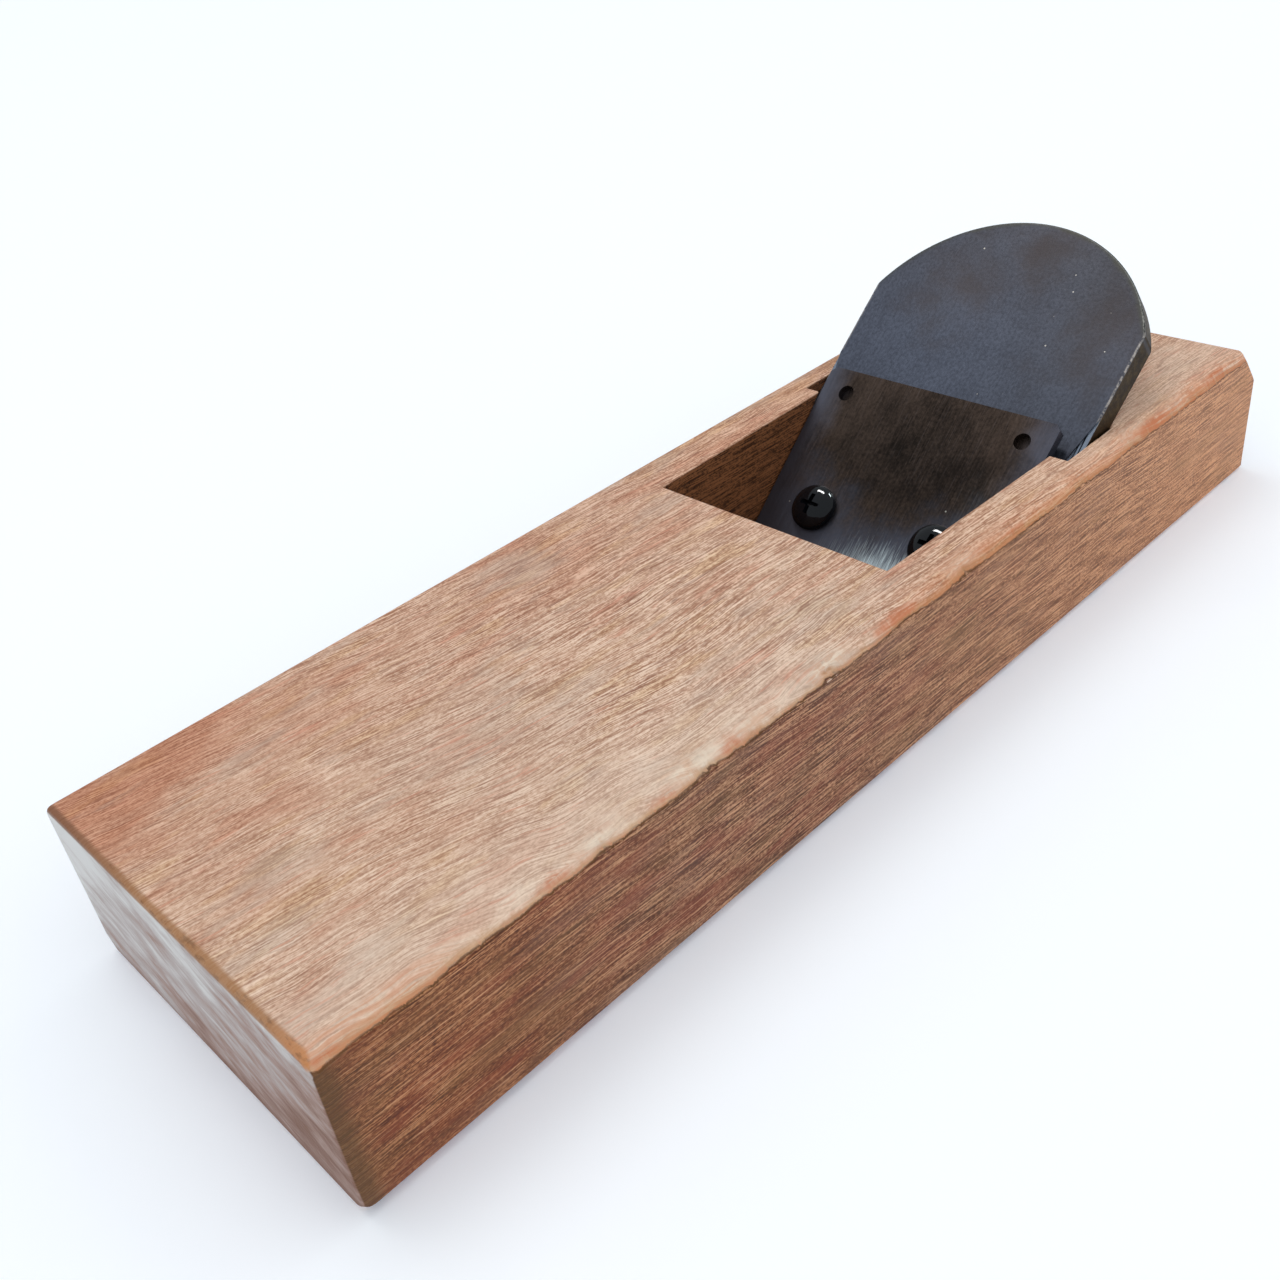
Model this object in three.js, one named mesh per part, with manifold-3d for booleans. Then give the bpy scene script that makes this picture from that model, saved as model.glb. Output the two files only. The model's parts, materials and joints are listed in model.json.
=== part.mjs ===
// A pull plane for smoothing wood: a hardwood block with a slanted throat, and in it a round-headed
// steel iron that carries a thin replaceable cutting blade under a chipbreaker held by two screws.
// x runs along the block toward the end that leads the cut, y across it and z up from the sole.
// The origin is the middle of the sole. Lengths are in millimetres, angles in degrees.
import * as THREE from "three";
import { mergeVertices } from "three/addons/utils/BufferGeometryUtils.js";
import Module from "manifold-3d";

const wasm = await Module();
wasm.setup();

// Shared by every piece
const seatGap = 0.3; // left between pieces that bear on each other
const overrun = 6; // how far a cutting shape runs past what it cuts
const weldDistance = 0.001; // points closer than this are one point

// The wooden block
const blockLength = 265;
const blockHeight = 34;
const cheekWall = 5.5; // wood left between each groove and the block's side
const tailChamferRun = 8.7; // the struck corner at the trailing end, along the block
const tailChamferDrop = 10.9;
const tailSoftness = 2.4;
const noseSoftness = 1.3;
const soleEndSoftness = 2.2;
const soleSideChamfer = 2.4;
const handWornSoftness = 2.2; // the long top edge that the hand has worn
const crispSoftness = 0.8;

// The throat in the block
const throatFrontAt = -3; // its leading edge on the top face
const cheekGap = 0.45; // between the cheeks and the chipbreaker's widest place
const throatTaper = 1; // how much each cheek closes in toward the front
const mouthGap = 1.3; // ahead of the cutting edge, on the sole
const lipHeight = 5; // the steep strip of wall over the mouth
const lipLean = 0.9;

// The grooves that hold the iron's edges
const grooveRelief = 7.93; // how far they open ahead of the iron's face on the top face
const grooveSideGap = 0.35;
const grooveBearingLength = 22; // measured up the slope, below the relieved part
const grooveFootSlack = 0.8;

// The slope that the iron lies on
const faceAngle = 37.8; // the iron's front face over the sole
const edgeLineAt = -21.4; // where the plane of that face meets the sole
const edgeLift = 0.35; // the cutting edge drawn back from the sole, measured up the slope

// The iron
const ironHalf = 34.15;
const earReach = 5.05; // how far the ears stand out past the narrow foot
const headCentre = 66.4; // up the slope
const shoulderStep = 3.45; // the head's radius over half the iron's width
const ironFootThickness = 4.7;
const ironHeadThickness = 6.8;
const earStart = 8.6; // where the lower corners begin to widen
const earEnd = 16;
const bevelAngle = 29;
const ironFootSetback = 2.3; // the blade's edge stands this far past the iron
const facetTop = 62;
const facetFullAt = 40.7;
const facetWidth = 5.15;
const facetTopStep = 0.35;
const facetFootStep = 1.1;

// The thin blade in its recess
const bladeThickness = 1;
const bladeTop = 18.3;
const pinRadius = 1.5;
const pinAlong = 11;
const pinInset = 9.1; // from the blade's end
const pinFloor = 1; // iron left under the pin's hole
const pinShortfall = 0.35; // the pin's top stays this far under the blade's face

// The chipbreaker
const plateTilt = 2.6; // leaned off the iron's face by its two pressed feet
const plateSetback = 1.5; // its edge behind the cutting edge
const plateLength = 54.4;
const plateThickness = 2.3;
const plateEdgeMargin = 0.1; // its edge is this much wider than the blade, each way
const plateSpread = 0.75; // and its top wider again
const plateCornerCut = 1.2;
const plateLandThickness = 0.6;
const plateBevelRun = 7;
const dimpleRadius = 1.9;
const dimpleFloor = 0.4; // plate left under a dimple
const footMargin = 0.1; // the foot pressed out below is this much larger in radius
const footInsetAlong = 5.6; // from the plate's top edge
const footInsetAcross = 6.75; // from its side

// The two screws
const screwBladeGap = 1.75; // between the shank and the blade's upper edge
const screwInset = 13.2; // from the plate's side
const screwHoleGap = 0.4;
const shankRadius = 2.5;
const shankShortfall = 0.8; // the tip stays this far inside the iron's back
const shankTipChamfer = 0.6;
const headRimHeight = 0.7;
const screwHeadRadius = 5.4;
const screwHeadHeight = 3.1;
const crossSpan = 5.2;
const crossWidth = 1.1;
const crossDepth = 2;

// How finely round forms are divided
const roundSteps = 40;
const softSteps = 5;
const headSteps = 26; // half the steps round the iron's head

// Half widths follow the iron: its foot carries the blade, the chipbreaker covers the blade, and
// the throat, the grooves and the block are made round them.
const ironEdgeHalf = ironHalf - earReach;
const bladeHalf = ironEdgeHalf;
const facetInnerHalf = ironHalf - facetWidth;
const plateEdgeHalf = bladeHalf + plateEdgeMargin;
const plateTopHalf = plateEdgeHalf + plateSpread;
const throatBackHalf = plateTopHalf + cheekGap;
const throatFrontHalf = throatBackHalf - throatTaper;
const grooveHalf = ironHalf + grooveSideGap;
const blockHalf = grooveHalf + cheekWall;

const rad = THREE.MathUtils.degToRad;
const slope = rad(faceAngle);
const headRadius = ironHalf + shoulderStep;
const ironLength = headCentre + headRadius;
const ironTaper = (ironHeadThickness - ironFootThickness) / ironLength;
const recessDepth = bladeThickness + seatGap;
const recessTop = bladeTop + seatGap;
const shoulderAt = headCentre + Math.sqrt(headRadius ** 2 - ironHalf ** 2);

// Thickness of the iron at a distance up the slope.
const ironThicknessAt = (along) => ironFootThickness + ironTaper * along;

// Places of the small pieces on the blade and on the chipbreaker
const plateFootAt = edgeLift + plateSetback; // the chipbreaker's edge, up the slope
const pinAcross = bladeHalf - pinInset;
const pinDepth = ironThicknessAt(pinAlong) - recessDepth - seatGap - pinFloor;
const footAlong = plateLength - footInsetAlong;
const footAcross = plateTopHalf - footInsetAcross;
const footRadius = dimpleRadius + footMargin;
const screwAlong = bladeTop - plateFootAt + screwBladeGap + shankRadius;
const screwAcross = plateEdgeHalf - screwInset;
const screwHoleRadius = shankRadius + screwHoleGap;
const plateStand = seatGap + screwAlong * Math.sin(rad(plateTilt)); // air under the plate there
const headSeat = plateThickness + seatGap;
const shankLength =
  headSeat + plateStand + ironThicknessAt(screwAlong + plateFootAt) - shankShortfall;

// Depth of the ground facets on the iron's front edges, deeper toward the foot.
const facetStepAt = (along) =>
  facetFootStep + ((facetTopStep - facetFootStep) * along) / facetTop;

// A point of the side view, from its distance up the slope and its height off the iron's front face.
function slopePoint(along, off) {
  return [
    edgeLineAt - along * Math.cos(slope) + off * Math.sin(slope),
    along * Math.sin(slope) + off * Math.cos(slope),
  ];
}

// The point of the bed, the surface under the iron, at a height over the sole.
function bedPoint(height) {
  const rise = Math.sin(slope) - ironTaper * Math.cos(slope);
  const along = (height + (ironFootThickness + seatGap) * Math.cos(slope)) / rise;
  return slopePoint(along, -ironThicknessAt(along) - seatGap);
}

// Where the grooves begin on the block's top face, ahead of the iron's face there.
function grooveFrontAt() {
  return slopePoint(blockHeight / Math.sin(slope), 0)[0] + grooveRelief;
}

// A closed outline through corners of the form [x, y, softness]; a soft corner is turned by a curve.
function outlineOf(corners) {
  const toward = ([x, y], [otherX, otherY], distance) => {
    const share = distance / Math.hypot(otherX - x, otherY - y);
    return [x + (otherX - x) * share, y + (otherY - y) * share];
  };
  const shape = new THREE.Shape();
  corners.forEach((corner, index) => {
    const [x, y, softness = 0] = corner;
    const start = toward(corner, corners.at(index - 1), softness);
    if (index) shape.lineTo(...start);
    else shape.moveTo(...start);
    const next = corners[(index + 1) % corners.length];
    if (softness) shape.quadraticCurveTo(x, y, ...toward(corner, next, softness));
  });
  shape.closePath();
  return shape;
}

// The corners of a rectangle from one x to another, as far each way across as half.
function rectangle(fromX, toX, half) {
  return [
    [fromX, -half],
    [toX, -half],
    [toX, half],
    [fromX, half],
  ];
}

// A closed three.js geometry as a solid that can be joined and cut.
function solidOf(geometry) {
  geometry.deleteAttribute("normal");
  geometry.deleteAttribute("uv");
  const merged = mergeVertices(geometry, weldDistance);
  return new wasm.Manifold(
    new wasm.Mesh({
      numProp: 3,
      vertProperties: merged.attributes.position.array,
      triVerts: new Uint32Array(merged.index.array),
    }),
  );
}

function extruded(shape, depth, curveSegments = softSteps) {
  return new THREE.ExtrudeGeometry(shape, { depth, bevelEnabled: false, curveSegments });
}

// A side outline (x, z) carried across the part, as far each way as halfWidth.
function across(corners, halfWidth) {
  const geometry = extruded(outlineOf(corners), 2 * halfWidth);
  geometry.rotateX(Math.PI / 2);
  geometry.translate(0, halfWidth, 0);
  return solidOf(geometry);
}

// An end outline (y, z) carried along the part.
function lengthwise(corners, halfLength) {
  const geometry = extruded(outlineOf(corners), 2 * halfLength);
  geometry.translate(0, 0, -halfLength);
  const turn = new THREE.Matrix4().makeBasis(
    new THREE.Vector3(0, 1, 0),
    new THREE.Vector3(0, 0, 1),
    new THREE.Vector3(1, 0, 0),
  );
  geometry.applyMatrix4(turn);
  return solidOf(geometry);
}

// A plan outline (x, y) raised from one height to another.
function upright(shape, low, high) {
  const geometry = extruded(shape, high - low);
  geometry.translate(0, 0, low);
  return solidOf(geometry);
}

// A round post or hole along z.
function post(x, y, radius, low, high) {
  const geometry = new THREE.CylinderGeometry(radius, radius, high - low, roundSteps);
  geometry.rotateX(Math.PI / 2);
  geometry.translate(x, y, (low + high) / 2);
  return solidOf(geometry);
}

function meshOf(name, solid, material) {
  const { vertProperties, triVerts } = solid.getMesh();
  const geometry = new THREE.BufferGeometry();
  geometry.setAttribute("position", new THREE.BufferAttribute(vertProperties, 3));
  geometry.setIndex(new THREE.BufferAttribute(triVerts, 1));
  geometry.computeVertexNormals();
  const mesh = new THREE.Mesh(geometry, material);
  mesh.name = name;
  return mesh;
}

const oiledOak = new THREE.MeshStandardMaterial({ color: 0xb98a68, roughness: 0.62, metalness: 0 });
const darkIron = new THREE.MeshStandardMaterial({ color: 0x474b54, roughness: 0.42, metalness: 0.9 });
const brownPlate = new THREE.MeshStandardMaterial({ color: 0x4b423c, roughness: 0.38, metalness: 0.9 });
const bareSteel = new THREE.MeshStandardMaterial({ color: 0xb9bcc0, roughness: 0.25, metalness: 1 });
const blackScrew = new THREE.MeshStandardMaterial({ color: 0x101316, roughness: 0.16, metalness: 0.7 });

// The block before the throat is cut: a side outline crossed with an end outline.
function makeBlank() {
  const half = blockLength / 2;
  const side = [
    [-half, 0, soleEndSoftness],
    [half, 0, soleEndSoftness],
    [half, blockHeight, noseSoftness],
    [-half + tailChamferRun, blockHeight, tailSoftness],
    [-half, blockHeight - tailChamferDrop, tailSoftness],
  ];
  const end = [
    [-blockHalf + soleSideChamfer, 0],
    [blockHalf - soleSideChamfer, 0],
    [blockHalf, soleSideChamfer],
    [blockHalf, blockHeight, handWornSoftness],
    [-blockHalf, blockHeight, crispSoftness],
    [-blockHalf, soleSideChamfer],
  ];
  return across(side, blockHalf + overrun).intersect(lengthwise(end, half + overrun));
}

// The open throat between the cheeks, from the front wall down the bed to the mouth.
function makeThroatCut() {
  const mouthFront = slopePoint(edgeLift, 0)[0] + mouthGap;
  const side = [
    [throatFrontAt, blockHeight],
    [throatFrontAt, blockHeight + overrun],
    bedPoint(blockHeight + overrun),
    bedPoint(-overrun),
    [mouthFront, -overrun],
    [mouthFront, 0],
    [mouthFront + lipLean, lipHeight],
  ];
  const spread = throatTaper / (throatFrontAt - grooveFrontAt());
  const halfAt = (x) => throatFrontHalf + spread * (throatFrontAt - x);
  const front = throatFrontAt + overrun;
  const back = bedPoint(blockHeight + overrun)[0] - overrun;
  const plan = outlineOf([
    [front, -halfAt(front)],
    [front, halfAt(front)],
    [back, halfAt(back)],
    [back, -halfAt(back)],
  ]);
  return across(side, 2 * blockHalf).intersect(upright(plan, -blockHeight, 2 * blockHeight));
}

// The grooves in the cheeks: they bear on the iron's facets near the mouth and open out above.
function makeGrooveCut() {
  const bearing = (along) => slopePoint(along, seatGap - facetStepAt(along));
  const side = [
    bedPoint(-overrun),
    bearing(-overrun),
    bearing(grooveBearingLength),
    [grooveFrontAt(), blockHeight],
    [grooveFrontAt(), blockHeight + overrun],
    bedPoint(blockHeight + overrun),
  ];
  const foot = earStart - grooveFootSlack;
  const plan = outlineOf([
    [-foot, -ironEdgeHalf],
    [-foot, ironEdgeHalf],
    [-earEnd + grooveFootSlack, grooveHalf],
    [-ironLength, grooveHalf],
    [-ironLength, -grooveHalf],
    [-earEnd + grooveFootSlack, -grooveHalf],
  ]);
  const slanted = extruded(plan, 2 * blockHeight);
  slanted.translate(0, 0, -blockHeight);
  slanted.rotateY(slope);
  slanted.translate(edgeLineAt, 0, 0);
  return solidOf(slanted).intersect(across(side, 2 * blockHalf));
}

function makeBlock() {
  const solid = makeBlank().subtract(makeThroatCut()).subtract(makeGrooveCut());
  return meshOf("wooden_block", solid, oiledOak);
}

// The iron seen square to its face: a narrow foot, two ears, straight sides and a round head.
function makeIronOutline() {
  const foot = edgeLift + ironFootSetback;
  const shape = new THREE.Shape();
  shape.moveTo(-shoulderAt, -ironHalf);
  shape.lineTo(-earEnd, -ironHalf);
  shape.lineTo(-earStart, -ironEdgeHalf);
  shape.lineTo(-foot, -ironEdgeHalf);
  shape.lineTo(-foot, ironEdgeHalf);
  shape.lineTo(-earStart, ironEdgeHalf);
  shape.lineTo(-earEnd, ironHalf);
  shape.lineTo(-shoulderAt, ironHalf);
  const shoulder = Math.atan2(ironHalf, headCentre - shoulderAt);
  shape.absarc(-headCentre, 0, headRadius, shoulder, 2 * Math.PI - shoulder, false);
  return shape;
}

// The ground facets along the iron's two front edges, widening from a point toward the foot.
function makeFacetCut() {
  const side = [
    [overrun, -facetStepAt(-overrun)],
    [overrun, overrun],
    [-facetTop - ironHalf, overrun],
    [-facetTop - ironHalf, -facetTopStep],
    [-facetTop, -facetTopStep],
  ];
  const widening = (facetTop - facetFullAt) / (ironHalf - facetInnerHalf);
  const outer = ironHalf + overrun;
  const plan = (way) =>
    outlineOf([
      [overrun, way * facetInnerHalf],
      [-facetFullAt, way * facetInnerHalf],
      [-facetTop - widening * overrun, way * outer],
      [overrun, way * outer],
    ]);
  const above = across(side, outer + overrun);
  const strips = [-1, 1].map((way) => upright(plan(way), -ironHeadThickness, overrun));
  return strips[0].add(strips[1]).intersect(above);
}

function makeIron() {
  const foot = edgeLift + ironFootSetback;
  const back = -ironHeadThickness - overrun;
  const outline = extruded(makeIronOutline(), -back, headSteps);
  outline.translate(0, 0, back);
  const bevelRun = (ironFootThickness - recessDepth) / Math.tan(rad(bevelAngle));
  const bevelEnd = foot + bevelRun;
  const side = [
    [-foot, -recessDepth],
    [-foot, overrun],
    [-ironLength - overrun, overrun],
    [-ironLength - overrun, -ironThicknessAt(ironLength + overrun)],
    [-bevelEnd, -ironThicknessAt(bevelEnd)],
  ];
  const recessPlan = outlineOf(rectangle(-recessTop, overrun, bladeHalf + seatGap));
  const recess = upright(recessPlan, -recessDepth, overrun);
  let solid = solidOf(outline)
    .intersect(across(side, ironHalf + overrun))
    .subtract(recess)
    .subtract(makeFacetCut());
  [-1, 1].forEach((way) => {
    const floor = -recessDepth - pinDepth - seatGap;
    solid = solid.subtract(post(-pinAlong, way * pinAcross, pinRadius + seatGap, floor, overrun));
  });
  return solid;
}

// A locating pin with a chamfered top, standing in its hole in the iron.
function makePin() {
  const low = -recessDepth - pinDepth;
  const high = -pinShortfall;
  const chamfer = pinShortfall;
  const profile = [
    new THREE.Vector2(0, low),
    new THREE.Vector2(pinRadius, low),
    new THREE.Vector2(pinRadius, high - chamfer),
    new THREE.Vector2(pinRadius - chamfer, high),
    new THREE.Vector2(0, high),
  ];
  const geometry = new THREE.LatheGeometry(profile, roundSteps);
  geometry.rotateX(Math.PI / 2);
  return solidOf(geometry);
}

function makeBlade() {
  const plan = outlineOf(rectangle(-bladeTop, 0, bladeHalf));
  const side = [
    [-edgeLift, 0],
    [-bladeTop - overrun, 0],
    [-bladeTop - overrun, -bladeThickness],
    [-edgeLift - bladeThickness / Math.tan(rad(bevelAngle)), -bladeThickness],
  ];
  let solid = upright(plan, -bladeThickness - overrun, overrun).intersect(
    across(side, bladeHalf + overrun),
  );
  [-1, 1].forEach((way) => {
    const hole = post(-pinAlong, way * pinAcross, pinRadius + seatGap, -overrun, overrun);
    solid = solid.subtract(hole);
  });
  return solid;
}

// The chipbreaker in its own leaned frame: its edge at x = 0, its underside at z = 0.
function makeChipbreaker() {
  const cut = plateCornerCut;
  const plan = outlineOf([
    [0, -plateEdgeHalf],
    [0, plateEdgeHalf],
    [-plateLength + cut, plateTopHalf],
    [-plateLength, plateTopHalf - cut],
    [-plateLength, cut - plateTopHalf],
    [-plateLength + cut, -plateTopHalf],
  ]);
  const side = [
    [0, 0],
    [-plateLength - overrun, 0],
    [-plateLength - overrun, plateThickness],
    [-plateBevelRun, plateThickness],
    [0, plateLandThickness],
  ];
  let solid = upright(plan, -overrun, plateThickness + overrun).intersect(
    across(side, plateTopHalf + overrun),
  );
  const footHeight = (footAlong - footRadius) * Math.sin(rad(plateTilt));
  const top = plateThickness + overrun;
  [-1, 1].forEach((way) => {
    const foot = post(-footAlong, way * footAcross, footRadius, -footHeight, plateThickness / 2);
    const dimple = post(-footAlong, way * footAcross, dimpleRadius, dimpleFloor, top);
    const hole = post(-screwAlong, way * screwAcross, screwHoleRadius, -overrun, top);
    solid = solid.add(foot).subtract(dimple).subtract(hole);
  });
  return solid;
}

// A pan-head screw with a cross recess: z = 0 under the head, the shank below.
function makeScrew() {
  const dome = Array.from({ length: softSteps + 1 }, (_, step) => {
    const turn = (step / softSteps) * (Math.PI / 2);
    return new THREE.Vector2(
      screwHeadRadius * Math.cos(turn),
      headRimHeight + (screwHeadHeight - headRimHeight) * Math.sin(turn),
    );
  });
  dome[softSteps].x = 0;
  const profile = [
    new THREE.Vector2(0, -shankLength),
    new THREE.Vector2(shankRadius - shankTipChamfer, -shankLength),
    new THREE.Vector2(shankRadius, shankTipChamfer - shankLength),
    new THREE.Vector2(shankRadius, 0),
    new THREE.Vector2(screwHeadRadius, 0),
    ...dome,
  ];
  const geometry = new THREE.LatheGeometry(profile, roundSteps);
  geometry.rotateX(Math.PI / 2);
  const arm = crossSpan / 2;
  const side = crossWidth / 2;
  const floor = screwHeadHeight - crossDepth;
  const top = screwHeadHeight + overrun;
  const cross = upright(outlineOf(rectangle(-arm, arm, side)), floor, top).add(
    upright(outlineOf(rectangle(-side, side, arm)), floor, top),
  );
  return solidOf(geometry).subtract(cross);
}

// Everything that lies on the slope hangs in one group: its x runs down the slope, z off the face.
const assembly = new THREE.Group();
assembly.add(makeBlock());

const slopeGroup = new THREE.Group();
slopeGroup.position.x = edgeLineAt;
slopeGroup.rotation.y = slope;
assembly.add(slopeGroup);

const plateGroup = new THREE.Group();
plateGroup.position.set(-plateFootAt, 0, seatGap);
plateGroup.rotation.y = rad(plateTilt);
slopeGroup.add(plateGroup);

// The tapped holes follow the screws, so they are cut in the chipbreaker's frame.
function tappedHole(way) {
  const depth = shankLength + plateThickness + overrun;
  const geometry = new THREE.CylinderGeometry(
    shankRadius + seatGap,
    shankRadius + seatGap,
    2 * depth,
    roundSteps,
  );
  geometry.rotateX(Math.PI / 2);
  geometry.translate(-screwAlong, way * screwAcross, 0);
  plateGroup.updateMatrix();
  geometry.applyMatrix4(plateGroup.matrix);
  return solidOf(geometry);
}

const tappedIron = [-1, 1].reduce((iron, way) => iron.subtract(tappedHole(way)), makeIron());
slopeGroup.add(meshOf("iron", tappedIron, darkIron));
slopeGroup.add(meshOf("cutting_blade", makeBlade(), bareSteel));
plateGroup.add(meshOf("chipbreaker", makeChipbreaker(), brownPlate));

[
  ["left", -1],
  ["right", 1],
].forEach(([sideName, way]) => {
  const pin = meshOf("locating_pin_" + sideName, makePin(), bareSteel);
  pin.position.set(-pinAlong, way * pinAcross, 0);
  slopeGroup.add(pin);
  const screw = meshOf("screw_" + sideName, makeScrew(), blackScrew);
  screw.position.set(-screwAlong, way * screwAcross, headSeat);
  plateGroup.add(screw);
});

export default assembly;
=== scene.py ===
import functools
import json
import math
import bmesh
import bpy
import numpy as np
from mathutils import Matrix, Vector, noise


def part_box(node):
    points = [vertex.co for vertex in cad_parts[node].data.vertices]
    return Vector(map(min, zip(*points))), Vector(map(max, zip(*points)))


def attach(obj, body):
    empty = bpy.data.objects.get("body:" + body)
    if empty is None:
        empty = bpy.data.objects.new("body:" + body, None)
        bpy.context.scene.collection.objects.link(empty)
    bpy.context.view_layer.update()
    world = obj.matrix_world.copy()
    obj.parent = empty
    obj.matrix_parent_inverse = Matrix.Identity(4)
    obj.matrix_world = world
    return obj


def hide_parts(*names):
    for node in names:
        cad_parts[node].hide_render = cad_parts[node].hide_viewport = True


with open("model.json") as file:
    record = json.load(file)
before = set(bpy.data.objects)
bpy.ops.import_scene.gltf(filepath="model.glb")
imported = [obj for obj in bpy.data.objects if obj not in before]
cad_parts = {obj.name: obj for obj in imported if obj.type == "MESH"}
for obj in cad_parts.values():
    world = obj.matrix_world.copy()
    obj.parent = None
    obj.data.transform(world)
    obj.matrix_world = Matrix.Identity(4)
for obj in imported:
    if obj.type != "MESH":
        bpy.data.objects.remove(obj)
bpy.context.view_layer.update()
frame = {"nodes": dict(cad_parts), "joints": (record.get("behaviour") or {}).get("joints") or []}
mm = 0.001


# Camera: the photograph's own place and lens, found from the block's straight edges
cameraView = {
    "place": (0.16691, 0.15737, 0.16913),
    "aim": (0.008306, -0.030355, 0.0),
    "roll": -8.2,  # degrees, the camera was held a little crooked
    "lens": 37.493,
    "sensor": 36.0,
    "clip": (0.01, 50),
}


def hang(data, place, aim=(0, 0, 0), roll=0.0):
    # puts a camera or a lamp at a place, pointed at aim and rolled about its own line of sight
    holder = bpy.data.objects.new(data.name, data)
    place = Vector(place)
    level = (Vector(aim) - place).to_track_quat("-Z", "Y").to_matrix()
    turned = level @ Matrix.Rotation(math.radians(roll), 3, "Z")
    holder.matrix_world = Matrix.Translation(place) @ turned.to_4x4()
    bpy.context.scene.collection.objects.link(holder)
    return holder


def makeCamera(values):
    lens = bpy.data.cameras.new("camera")
    lens.lens = values["lens"]
    lens.sensor_width = values["sensor"]
    lens.clip_start, lens.clip_end = values["clip"]
    bpy.context.scene.camera = hang(lens, values["place"], values["aim"], values["roll"])


# Floor, lamps and world: plain, pale and soft
studio = {
    "floorSize": 14.0,
    "floorColour": (0.925, 0.925, 0.92),
    "floorGlow": (0.05, 0.075, 0.125),  # lifts the shadow toward blue
    "worldStrength": 0.6,
    "worldInGloss": 0.5,  # how strong mirrors see it, so that black stays black
    "worldInView": 1.0,
    "worldColour": (0.87, 0.945, 1.0),
    # wide soft suns: name, where the light comes from, strength, width in degrees, colour
    "suns": [
        ("window", (-0.45, 0.62, 0.8), 1.0, 110.0, (1.0, 0.975, 0.93)),
        ("room", (0.85, 0.1, 0.8), 0.6, 110.0, (1.0, 0.975, 0.93)),
        ("ceiling", (0.01, -0.6, 1.35), 0.4, 30.0, (1.0, 1.0, 1.0)),
    ],
    # lamps that only show mirrored, in the screw heads and the steel:
    # name, place, size, turn in degrees, watts, colour
    "tubes": [
        ("tube", (-0.345, -0.55, 1.36), (0.5, 0.18), 117.0, 11.0, (1.0, 1.0, 1.0)),
        ("pane", (-0.83, 0.19, 1.27), (0.34, 0.2), 20.0, 9.0, (0.85, 0.97, 1.0)),
    ],
}


def linear(red, green, blue):
    # screen colour 0 to 255 as the linear colour that Blender wants
    shares = [value / 255 for value in (red, green, blue)]
    turned = [s / 12.92 if s <= 0.04045 else ((s + 0.055) / 1.055) ** 2.4 for s in shares]
    return (*turned, 1.0)


class Wire:
    # a socket of a node tree that plain maths can be done with
    def __init__(self, finish, socket):
        self.finish = finish
        self.socket = socket

    def maths(self, operation, *values):
        return self.finish.add("ShaderNodeMath", {"operation": operation}, dict(enumerate(values)))

    def __add__(self, other):
        return self.maths("ADD", self, other)

    def __sub__(self, other):
        return self.maths("SUBTRACT", self, other)

    def __rsub__(self, other):
        return self.maths("SUBTRACT", other, self)

    def __mul__(self, other):
        return self.maths("MULTIPLY", self, other)

    def __abs__(self):
        return self.maths("ABSOLUTE", self)

    __radd__ = __add__
    __rmul__ = __mul__

    def larger(self, other):
        return self.maths("MAXIMUM", self, other)


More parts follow.
